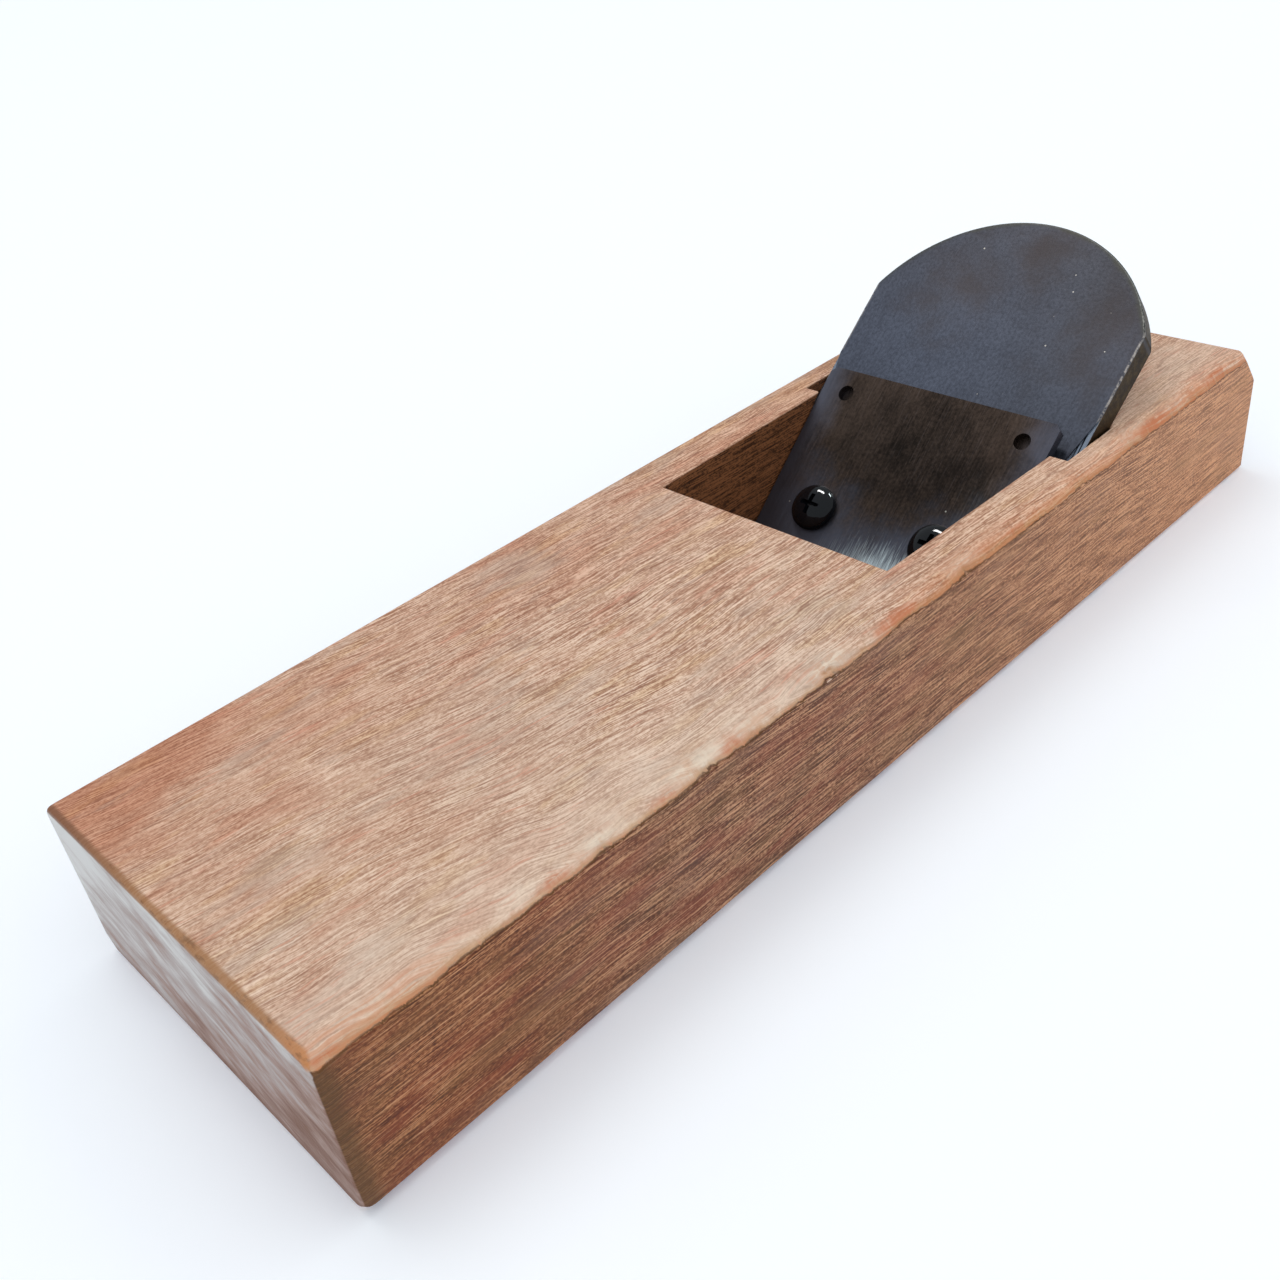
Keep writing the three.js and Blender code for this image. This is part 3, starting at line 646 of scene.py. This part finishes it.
# The chipbreaker: brown patina in the middle, darkest there with a painted reflection of the dark
# throat wall, bluish at its sides, brushed near its edge with a painted highlight and a painted sheen
# along its right side
plateLook = {
    "slope": 40.4,
    "foot": -21.4,
    "brown": linear(84, 69, 60),
    # dark patina mottles, and the painted reflection that darkens the middle
    "darkPatinaAndReflection": linear(32, 25, 21),
    "blue": linear(96, 99, 113),
    # painted highlight on the brushed lower corner
    "brushedGlint": linear(228, 240, 243),
    "edgeShine": linear(176, 190, 198),
    "dust": linear(206, 200, 190),
    # painted reflection of the dark throat wall darkens the brown toward this place
    "middle": (34.0, 4.0, 0.0),  # where the brown is darkest
    "blueBelow": (30.0, 12.0),  # how far up the plate it turns bluish
    "blueBeside": (21.0, 31.0),  # and how far from its middle line
    "glintBelow": (21.5, 12.0),
    "glintFrom": (-14.0, 6.0),
}


def makePlateSteel(look):
    steel = Finish("plateSteel")
    up, off = steelPlace(steel, look["slope"], look["foot"])
    y = steel.y
    flat = steel.join(up, y, off)
    mottle = steel.noise(steel.stretch(flat, (0.12, 0.12, 0.12)), 4.0, 0.6)
    brush = steel.noise(steel.stretch(flat, (0.12, 3.6, 1.0)), 3.0, 0.65)
    speck = steel.noise(steel.stretch(flat, (1.2, 1.4, 1.2)), 3.0, 0.6)
    middle = steel.distance(flat, look["middle"])
    # the brown darker toward the middle: painted reflection of the dark throat wall over the mottled
    # patina
    share = mottle * 0.6 + brush * 0.3 + speck * 0.5 + steel.rise(middle, 8.0, 34.0) * 0.16
    tone = steel.mix(steel.rise(share, 0.5, 1.06), look["darkPatinaAndReflection"], look["brown"])
    lowZone = steel.rise(up - abs(y) * 0.35 + (mottle - 0.5) * 22.0, *look["blueBelow"])
    sideZone = steel.rise(abs(y) + (mottle - 0.5) * 10.0, *look["blueBeside"])
    tone = steel.mix(lowZone.larger(sideZone) * 0.8, tone, look["blue"])
    tone = steel.mix(steel.rise(brush, 0.55, 0.75) * 0.12, tone, look["blue"])
    edgeShine = steel.rise(y, 12.0, 33.0) * steel.rise(up + (mottle - 0.5) * 16.0, 44.0, 14.0)
    tone = steel.mix(edgeShine * 0.5 * steel.rise(brush, 0.3, 0.7), tone, look["edgeShine"])
    # painted highlight: the brushed lower corner brightened and made smoother
    marks = steel.noise(steel.stretch(flat, (0.25, 6.5, 1.0)), 2.0, 0.6)
    shine = steel.rise(up + (marks - 0.5) * 18.0 + abs(y - 6.0) * 0.3, *look["glintBelow"])
    shine = shine * steel.rise(y + (mottle - 0.5) * 10.0, *look["glintFrom"])
    tone = steel.mix(shine, tone, look["brushedGlint"])
    dust = steel.grit(flat, 0.16, 0.04, 0.025) * steel.rise(off, 0.5, 1.0)
    tone = steel.mix(dust * 0.7, tone, look["dust"])
    rough = 0.4 + (brush - 0.5) * 0.3 - shine * 0.12
    relief = steel.bump(brush + speck * 0.4, 0.08, 0.6)
    return steel.surface({"Base Color": tone, "Metallic": 0.9, "Roughness": rough, "Normal": relief})


# Bare ground steel of the cutting strip and its pins
bladeLook = {"tone": linear(196, 199, 203), "shade": linear(150, 152, 158)}


def makeBareSteel(look):
    steel = Finish("bareSteel")
    brush = steel.noise(steel.stretch(steel.place, (4.0, 0.2, 4.0)), 3.0, 0.6)
    tone = steel.mix(steel.rise(brush, 0.35, 0.65), look["shade"], look["tone"])
    rough = 0.22 + brush * 0.16
    relief = steel.bump(brush, 0.04, 0.4)
    return steel.surface({"Base Color": tone, "Metallic": 1.0, "Roughness": rough, "Normal": relief})


# Glossy black oxide on the screws
screwLook = {"black": linear(12, 14, 18), "worn": linear(34, 36, 42)}


def makeBlackScrew(look):
    oxide = Finish("blackOxide")
    cloud = oxide.noise(oxide.stretch(oxide.place, (1.2, 1.2, 1.2)), 3.0, 0.6)
    tone = oxide.mix(oxide.rise(cloud, 0.6, 0.8) * 0.4, look["black"], look["worn"])
    rough = 0.06 + oxide.rise(cloud, 0.45, 0.8) * 0.06
    relief = oxide.bump(cloud, 0.05, 0.2)
    return oxide.surface({"Base Color": tone, "IOR": 1.42, "Roughness": rough, "Normal": relief})


def newObject(name, mesh, material):
    piece = bpy.data.objects.new(name, mesh)
    bpy.context.scene.collection.objects.link(piece)
    mesh.materials.clear()
    mesh.materials.append(material)
    return piece


def gridMesh(name, rings):
    # rings of points, each joined to the next, and the two ends shut
    count = len(rings[0])
    points = [tuple(point) for ring in rings for point in ring]
    faces = []
    for row in range(len(rings) - 1):
        for step in range(count):
            nextStep = (step + 1) % count
            a, b = row * count + step, row * count + nextStep
            faces.append((a, b, b + count, a + count))
    faces.append(tuple(reversed(range(count))))
    faces.append(tuple(range((len(rings) - 1) * count, len(rings) * count)))
    mesh = bpy.data.meshes.new(name)
    mesh.from_pydata(points, [], faces)
    mesh.validate()
    return mesh


def easedCopy(node, chooseEdges, width, steps):
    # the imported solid's mesh, welded, its flat faces whole again and the chosen edges rounded
    mesh = frame["nodes"][node].data.copy()
    work = bmesh.new()
    work.from_mesh(mesh)
    bmesh.ops.remove_doubles(work, verts=work.verts, dist=0.002 * mm)
    bmesh.ops.dissolve_limit(work, angle_limit=math.radians(0.4), verts=work.verts, edges=work.edges)
    bmesh.ops.bevel(
        work, geom=chooseEdges(work), offset=width, segments=steps,
        profile=0.5, affect="EDGES", clamp_overlap=True,
    )
    work.to_mesh(mesh)
    work.free()
    return mesh


def isSharp(edge, degrees):
    return edge.calc_face_angle(0) > math.radians(degrees)


def bakeModifiers(piece):
    view = bpy.context.evaluated_depsgraph_get()
    result = bpy.data.meshes.new_from_object(piece.evaluated_get(view))
    piece.modifiers.clear()
    piece.data = result


def cutAway(piece, tool):
    # takes the tool's space out of the piece and drops the tool
    change = piece.modifiers.new("cut", "BOOLEAN")
    change.object = tool
    change.operation = "DIFFERENCE"
    change.solver = "MANIFOLD"
    bakeModifiers(piece)
    bpy.data.objects.remove(tool)


def shadeSoftly(piece, angle):
    # smooth, sharp over the angle, and big flat faces kept flat beside their rounded rims
    piece.data.shade_smooth()
    piece.data.set_sharp_from_angle(angle=math.radians(angle))
    weigh = piece.modifiers.new("weigh", "WEIGHTED_NORMAL")
    weigh.keep_sharp = True
    weigh.weight = 80
    bakeModifiers(piece)


# The block: one worn outline after another along it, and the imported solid's own throat cut in
blockWear = {
    "inset": 0.02 * mm,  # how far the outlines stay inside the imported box
    "stationStep": 0.9 * mm,
    "tailRun": 8.7 * mm,
    "tailDrop": 10.4 * mm,
    "tailSoft": 1.0 * mm,
    "noseSoft": 1.4 * mm,
    "tailFootSoft": 0.9 * mm,
    "noseFootSoft": 2.3 * mm,
    "soleSideFar": 0.7 * mm,  # the chamfer under the sides grows from the tail to the nose
    "soleSideNear": 2.45 * mm,
    "crisp": 0.85 * mm,
    # where the close outlines lie from each end, in mm, and where the evenly spaced ones start and stop
    "endStations": (0.0, 0.05, 0.15, 0.3, 0.5, 0.8, 1.2, 1.7, 2.3, 3.0),
    "evenFrom": 3.6 * mm,
    "evenTo": 3.2 * mm,
    "crown": 0.16,
    "ragged": (5 * mm, 0.12 * mm),  # length and depth of the uneven places of the worn edge
    "torn": (1.6 * mm, 0.06 * mm),
    "dropWander": (14 * mm, 0.14),  # length and share of the slow change of its width
    "runWander": (11 * mm, 0.3),
    "besideWorn": 6 * mm,  # the finely divided strip of the top beside it
    "endRound": 0.7 * mm,
    "wornDropNear": 2.0 * mm,  # the worn edge, measured down the side
    "wornDropFar": 3.2 * mm,
    "wornRun": 2.6 * mm,  # and across the top
    "wornAtTail": 0.25,  # what is left of both at the tail's chamfer
    "wornFade": 15 * mm,
    "wornFadeAhead": 3 * mm,  # the fade starts this much before the chamfer ends
    # hollows torn out of the worn edge: place along the block, half length and depth, in mm
    "hollows": [
        (25.9, 3.6, 0.7), (46.0, 2.6, 0.3), (57.5, 4.5, 0.45), (80.0, 3.0, 0.35),
        (-13.7, 5.0, 0.45), (-76.0, 5.5, 0.4), (-101.0, 6.0, 0.3),
    ],
    "throatSoft": 0.3 * mm,
    "throatBoxEnds": (-110 * mm, 10 * mm),
    "throatBoxHalf": 37 * mm,
    "throatRimHalf": 36 * mm,
    "shadeAngle": 28,
}


def softCorner(before, corner, after, size, steps=6):
    # points of the curve that rounds a corner of an outline
    corner = np.array(corner)
    start = corner + (np.array(before) - corner) * size / np.linalg.norm(np.array(before) - corner)
    end = corner + (np.array(after) - corner) * size / np.linalg.norm(np.array(after) - corner)
    shares = np.linspace(0, 1, steps + 1)[:, None]
    return (1 - shares) ** 2 * start + 2 * shares * (1 - shares) * corner + shares**2 * end


def blockProfiles(wear, low, high):
    # the top and sole lines of the side view, as points from tail to nose
    tailFoot = (low.x, high.z - wear["tailDrop"])
    tailTop = (low.x + wear["tailRun"], high.z)
    nose, noseFoot = (high.x, high.z), (high.x, low.z)
    top = [
        softCorner((low.x, low.z), tailFoot, tailTop, wear["tailSoft"]),
        softCorner(tailFoot, tailTop, nose, wear["tailSoft"]),
        softCorner(tailTop, nose, noseFoot, wear["noseSoft"]),
    ]
    sole = [
        softCorner(tailFoot, (low.x, low.z), noseFoot, wear["tailFootSoft"]),
        softCorner((low.x, low.z), noseFoot, nose, wear["noseFootSoft"]),
    ]
    return np.vstack(top), np.vstack(sole)


def blockSection(wear, x, floor, roof, half, side, drop, run):
    # one outline across the block, seen from the nose, starting at the sole's left
    crisp, beside = wear["crisp"], wear["besideWorn"]
    corners = [
        [(-half + side, floor)],
        np.linspace((-half + side, floor), (half - side, floor), 5)[1:-1],
        np.linspace((half - side, floor), (half, floor + side), 4),
        np.linspace((half, floor + side), (half, roof - drop), 8)[1:-1],
        wornCorner(wear, x, half, roof, drop, run),
        np.linspace((half - run, roof), (half - run - beside, roof), 9)[1:],
        np.linspace((half - run - beside, roof), (-half + crisp, roof), 12)[1:-1],
        softCorner((0, roof), (-half, roof), (-half, 0), crisp, 5),
        np.linspace((-half, roof - crisp), (-half, floor + side), 6)[1:],
    ]
    return np.vstack(corners)


def wornCorner(wear, x, half, roof, drop, run, steps=14):
    # a flattened corner: slightly crowned, ragged, and hollow where wood is torn out
    shares = np.linspace(0, 1, steps)
    start, end = np.array((half, roof - drop)), np.array((half - run, roof))
    points = start + shares[:, None] * (end - start)
    crown = wear["crown"] * min(drop, run) * 4 * shares * (1 - shares)
    raggedLength, raggedDepth = wear["ragged"]
    tornLength, tornDepth = wear["torn"]
    ragged = np.array([noise.noise(Vector((x / raggedLength, share * 3.0, 2.0))) for share in shares])
    torn = np.array([noise.noise(Vector((x / tornLength, share * 5.0, 7.0))) for share in shares])
    dip = raggedDepth * ragged + tornDepth * torn
    for place, length, depth in wear["hollows"]:
        away = (x / mm - place) / length
        if abs(away) < 1:
            dip -= depth * mm * (1 - away * away) ** 1.5 * (1 + 1.5 * torn)
    outward = np.array((0.7, 0.7))
    return points + ((crown + dip) * np.sin(shares * math.pi) ** 0.5)[:, None] * outward


def makeBlock(wear, material):
    low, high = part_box("wooden_block")
    inset = Vector((1, 1, 1)) * wear["inset"]
    low, high = low + inset, high - inset
    top, sole = blockProfiles(wear, low, high)
    ends = np.array(wear["endStations"]) * mm
    middle = np.arange(low.x + wear["evenFrom"], high.x - wear["evenTo"], wear["stationStep"])
    stations = np.concatenate((low.x + ends, middle, (high.x - ends)[::-1]))
    fadeFrom = low.x + wear["tailRun"] - wear["wornFadeAhead"]
    dropLength, dropShare = wear["dropWander"]
    runLength, runShare = wear["runWander"]
    rings = []
    for x in stations:
        gap = min(x - low.x, high.x - x)
        lost = max(0.0, wear["endRound"] - gap)
        half = high.y - (wear["endRound"] - math.sqrt(wear["endRound"] ** 2 - lost**2))
        roof = float(np.interp(x, top[:, 0], top[:, 1]))
        floor = float(np.interp(x, sole[:, 0], sole[:, 1]))
        share = (x - low.x) / (high.x - low.x)
        drop = wear["wornDropFar"] + (wear["wornDropNear"] - wear["wornDropFar"]) * share
        drop *= 1 + dropShare * noise.noise(Vector((x / dropLength, 1.0, 0.0)))
        run = wear["wornRun"] * (1 + runShare * noise.noise(Vector((x / runLength, 5.0, 0.0))))
        worn = float(np.interp(x, (fadeFrom, fadeFrom + wear["wornFade"]), (wear["wornAtTail"], 1.0)))
        side = wear["soleSideFar"] + (wear["soleSideNear"] - wear["soleSideFar"]) * share
        section = blockSection(wear, x, floor, roof, half, side, drop * worn, run * worn)
        rings.append([(x, y, z) for y, z in section])
    blank = newObject("block", gridMesh("block", rings), material)
    cutAway(blank, throatTool(wear, low.z - inset.z / 2, high.z + inset.z / 2, material))
    shadeSoftly(blank, wear["shadeAngle"])
    return blank


def throatTool(wear, floor, roof, material):
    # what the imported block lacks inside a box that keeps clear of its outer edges
    half = wear["throatBoxHalf"]
    corners = [(-half, floor), (half, floor), (half, roof), (-half, roof)]
    ends = [[(x, y, z) for y, z in corners] for x in wear["throatBoxEnds"]]
    throat = newObject("throat", gridMesh("throat", ends), material)
    packed = easedCopy("wooden_block", throatRim, wear["throatSoft"], 2)
    cutAway(throat, newObject("packedBlock", packed, material))
    return throat


def throatRim(work):
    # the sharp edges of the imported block's top that are inside its cheeks
    top = max(vertex.co.z for vertex in work.verts)

    def isInside(vertex):
        between = abs(vertex.co.y) < blockWear["throatRimHalf"]
        return vertex.co.z > top - 0.03 * mm and between and vertex.co.x < 0

    return [edge for edge in work.edges if all(map(isInside, edge.verts)) and isSharp(edge, 20)]


# The iron and the chipbreaker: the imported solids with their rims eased
steelEdges = {"ironRim": 0.45 * mm, "plateRim": 0.25 * mm, "steps": 3, "shadeAngle": 30}


def slopeUp(point, look):
    # how far up the slope a point of the model is, in metres
    lean = math.radians(look["slope"])
    return (look["foot"] * mm - point.x) * math.cos(lean) + point.z * math.sin(lean)


def ironRim(work):
    # the sharp edges round the head and down both sides above the ground facets
    def isOutside(vertex):
        up = slopeUp(vertex.co, ironLook)
        reach = math.hypot(up - ironLook["headCentre"] * mm, vertex.co.y)
        onHead = abs(reach - ironLook["headRadius"] * mm) < 0.05 * mm
        atSide = abs(abs(vertex.co.y) - ironLook["half"] * mm) < 0.02 * mm
        return onHead or (atSide and up > (ironLook["facetTop"] + 0.05) * mm)

    return [edge for edge in work.edges if all(map(isOutside, edge.verts)) and isSharp(edge, 35)]


def plateRim(work):
    # the sharp edges of the chipbreaker's large upper face
    lean = math.radians(plateLook["slope"])
    faceUp = Vector((math.sin(lean), 0, math.cos(lean)))
    face = max(work.faces, key=lambda f: f.calc_area() if f.normal.dot(faceUp) > 0.999 else 0)
    return [edge for edge in face.edges if isSharp(edge, 35)]


def makePlate(name, node, chooseEdges, width, material):
    mesh = easedCopy(node, chooseEdges, width, steelEdges["steps"])
    piece = newObject(name, mesh, material)
    shadeSoftly(piece, steelEdges["shadeAngle"])
    return piece


# The screws: a smooth pan head with a cross recess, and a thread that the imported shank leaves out
screwShape = {
    "headRadius": 5.4 * mm,
    "rimHeight": 0.7 * mm,
    "headHeight": 3.1 * mm,
    "shankRadius": 2.5 * mm,
    "threadDepth": 0.32 * mm,
    "pitch": 0.8 * mm,
    "neck": 2.6 * mm,
    "rowsPerTurn": 8,
    "tipTaper": 0.4 * mm,
    "tipLength": 0.6 * mm,
    "underChamfer": 0.2 * mm,
    "domeSteps": 15,
    "sides": 72,
    "crossSpan": 5.4 * mm,
    "crossWidth": 1.15 * mm,
    "crossDepth": 2.0 * mm,
    "crossTaper": (0.55, 1.15),  # the cross's size at its foot and above the head
    "shadeAngle": 32,
}


def screwRings(shape, length):
    # from the tip up: threaded shank, under the head, rim and dome
    turns = np.linspace(0, 2 * math.pi, shape["sides"], endpoint=False)
    outline = []
    rows = int(length / (shape["pitch"] / shape["rowsPerTurn"]))
    for row in range(rows + 1):
        z = -length + length * row / rows
        tip = min(1.0, (z + length) / shape["tipLength"])
        inThread = 1.0 if z < -shape["neck"] else 0.0
        wave = np.abs(((z / shape["pitch"] - turns / (2 * math.pi)) % 1.0) * 2 - 1)
        taper = shape["tipTaper"] * (1 - tip)
        outline.append((shape["shankRadius"] - taper - inThread * shape["threadDepth"] * wave, z))
    head, rim, chamfer = shape["headRadius"], shape["rimHeight"], shape["underChamfer"]
    outline += [(head - chamfer, 0.0), (head, chamfer)]
    for step in range(shape["domeSteps"]):
        angle = math.pi / 2 * step / shape["domeSteps"]
        outline.append((head * math.cos(angle), rim + (shape["headHeight"] - rim) * math.sin(angle)))
    across, along = np.cos(turns), np.sin(turns)
    return [np.column_stack((radius * across, radius * along, turns * 0 + z)) for radius, z in outline]


def crossTool(shape, material):
    # a four-winged bit, narrower at its foot
    arm, side = shape["crossSpan"] / 2, shape["crossWidth"] / 2
    plan = [(arm, side), (side, side), (side, arm), (-side, arm), (-side, side), (-arm, side)]
    plan += [(-x, -y) for x, y in plan]
    heights = (shape["headHeight"] - shape["crossDepth"], shape["headHeight"] + 1 * mm)
    rings = [
        [(x * share, y * share, z) for x, y in plan] for z, share in zip(heights, shape["crossTaper"])
    ]
    return newObject("bit", gridMesh("bit", rings), material)


def makeScrew(side, shape, material):
    joint = next(j for j in frame["joints"] if j["name"] == f"screw_{side}_turn")
    place, axis = Vector(joint["pos_m"]), Vector(joint["axis"]).normalized()
    corners = [vertex.co - place for vertex in frame["nodes"][f"screw_{side}"].data.vertices]
    length = -min(corner.dot(axis) for corner in corners)
    screw = newObject(f"panScrew_{side}", gridMesh("screw", screwRings(shape, length)), material)
    cutAway(screw, crossTool(shape, material))
    turn = axis.to_track_quat("Z", "Y").to_matrix().to_4x4()
    screw.data.transform(Matrix.Translation(place) @ turn)
    shadeSoftly(screw, shape["shadeAngle"])
    return screw


print("stage: finishes")
oak = makeOak(oakLook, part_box("wooden_block"))
darkSteel = makeDarkSteel(ironLook)
plateSteel = makePlateSteel(plateLook)
bareSteel = makeBareSteel(bladeLook)
blackOxide = makeBlackScrew(screwLook)

print("stage: block")
block = makeBlock(blockWear, oak)
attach(block, "block")
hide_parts("wooden_block")

print("stage: iron and chipbreaker")
ironBody = makePlate("ironBody", "iron", ironRim, steelEdges["ironRim"], darkSteel)
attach(ironBody, "iron")
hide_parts("iron")
plate = makePlate("chipbreakerPlate", "chipbreaker", plateRim, steelEdges["plateRim"], plateSteel)
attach(plate, "chipbreaker")
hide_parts("chipbreaker")

print("stage: screws, strip and pins")
for side in ("left", "right"):
    screw = makeScrew(side, screwShape, blackOxide)
    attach(screw, f"screw_{side}")
    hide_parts(f"screw_{side}")
for node in ("cutting_blade", "locating_pin_left", "locating_pin_right"):
    kept = frame["nodes"][node]
    kept.data.materials.clear()
    kept.data.materials.append(bareSteel)
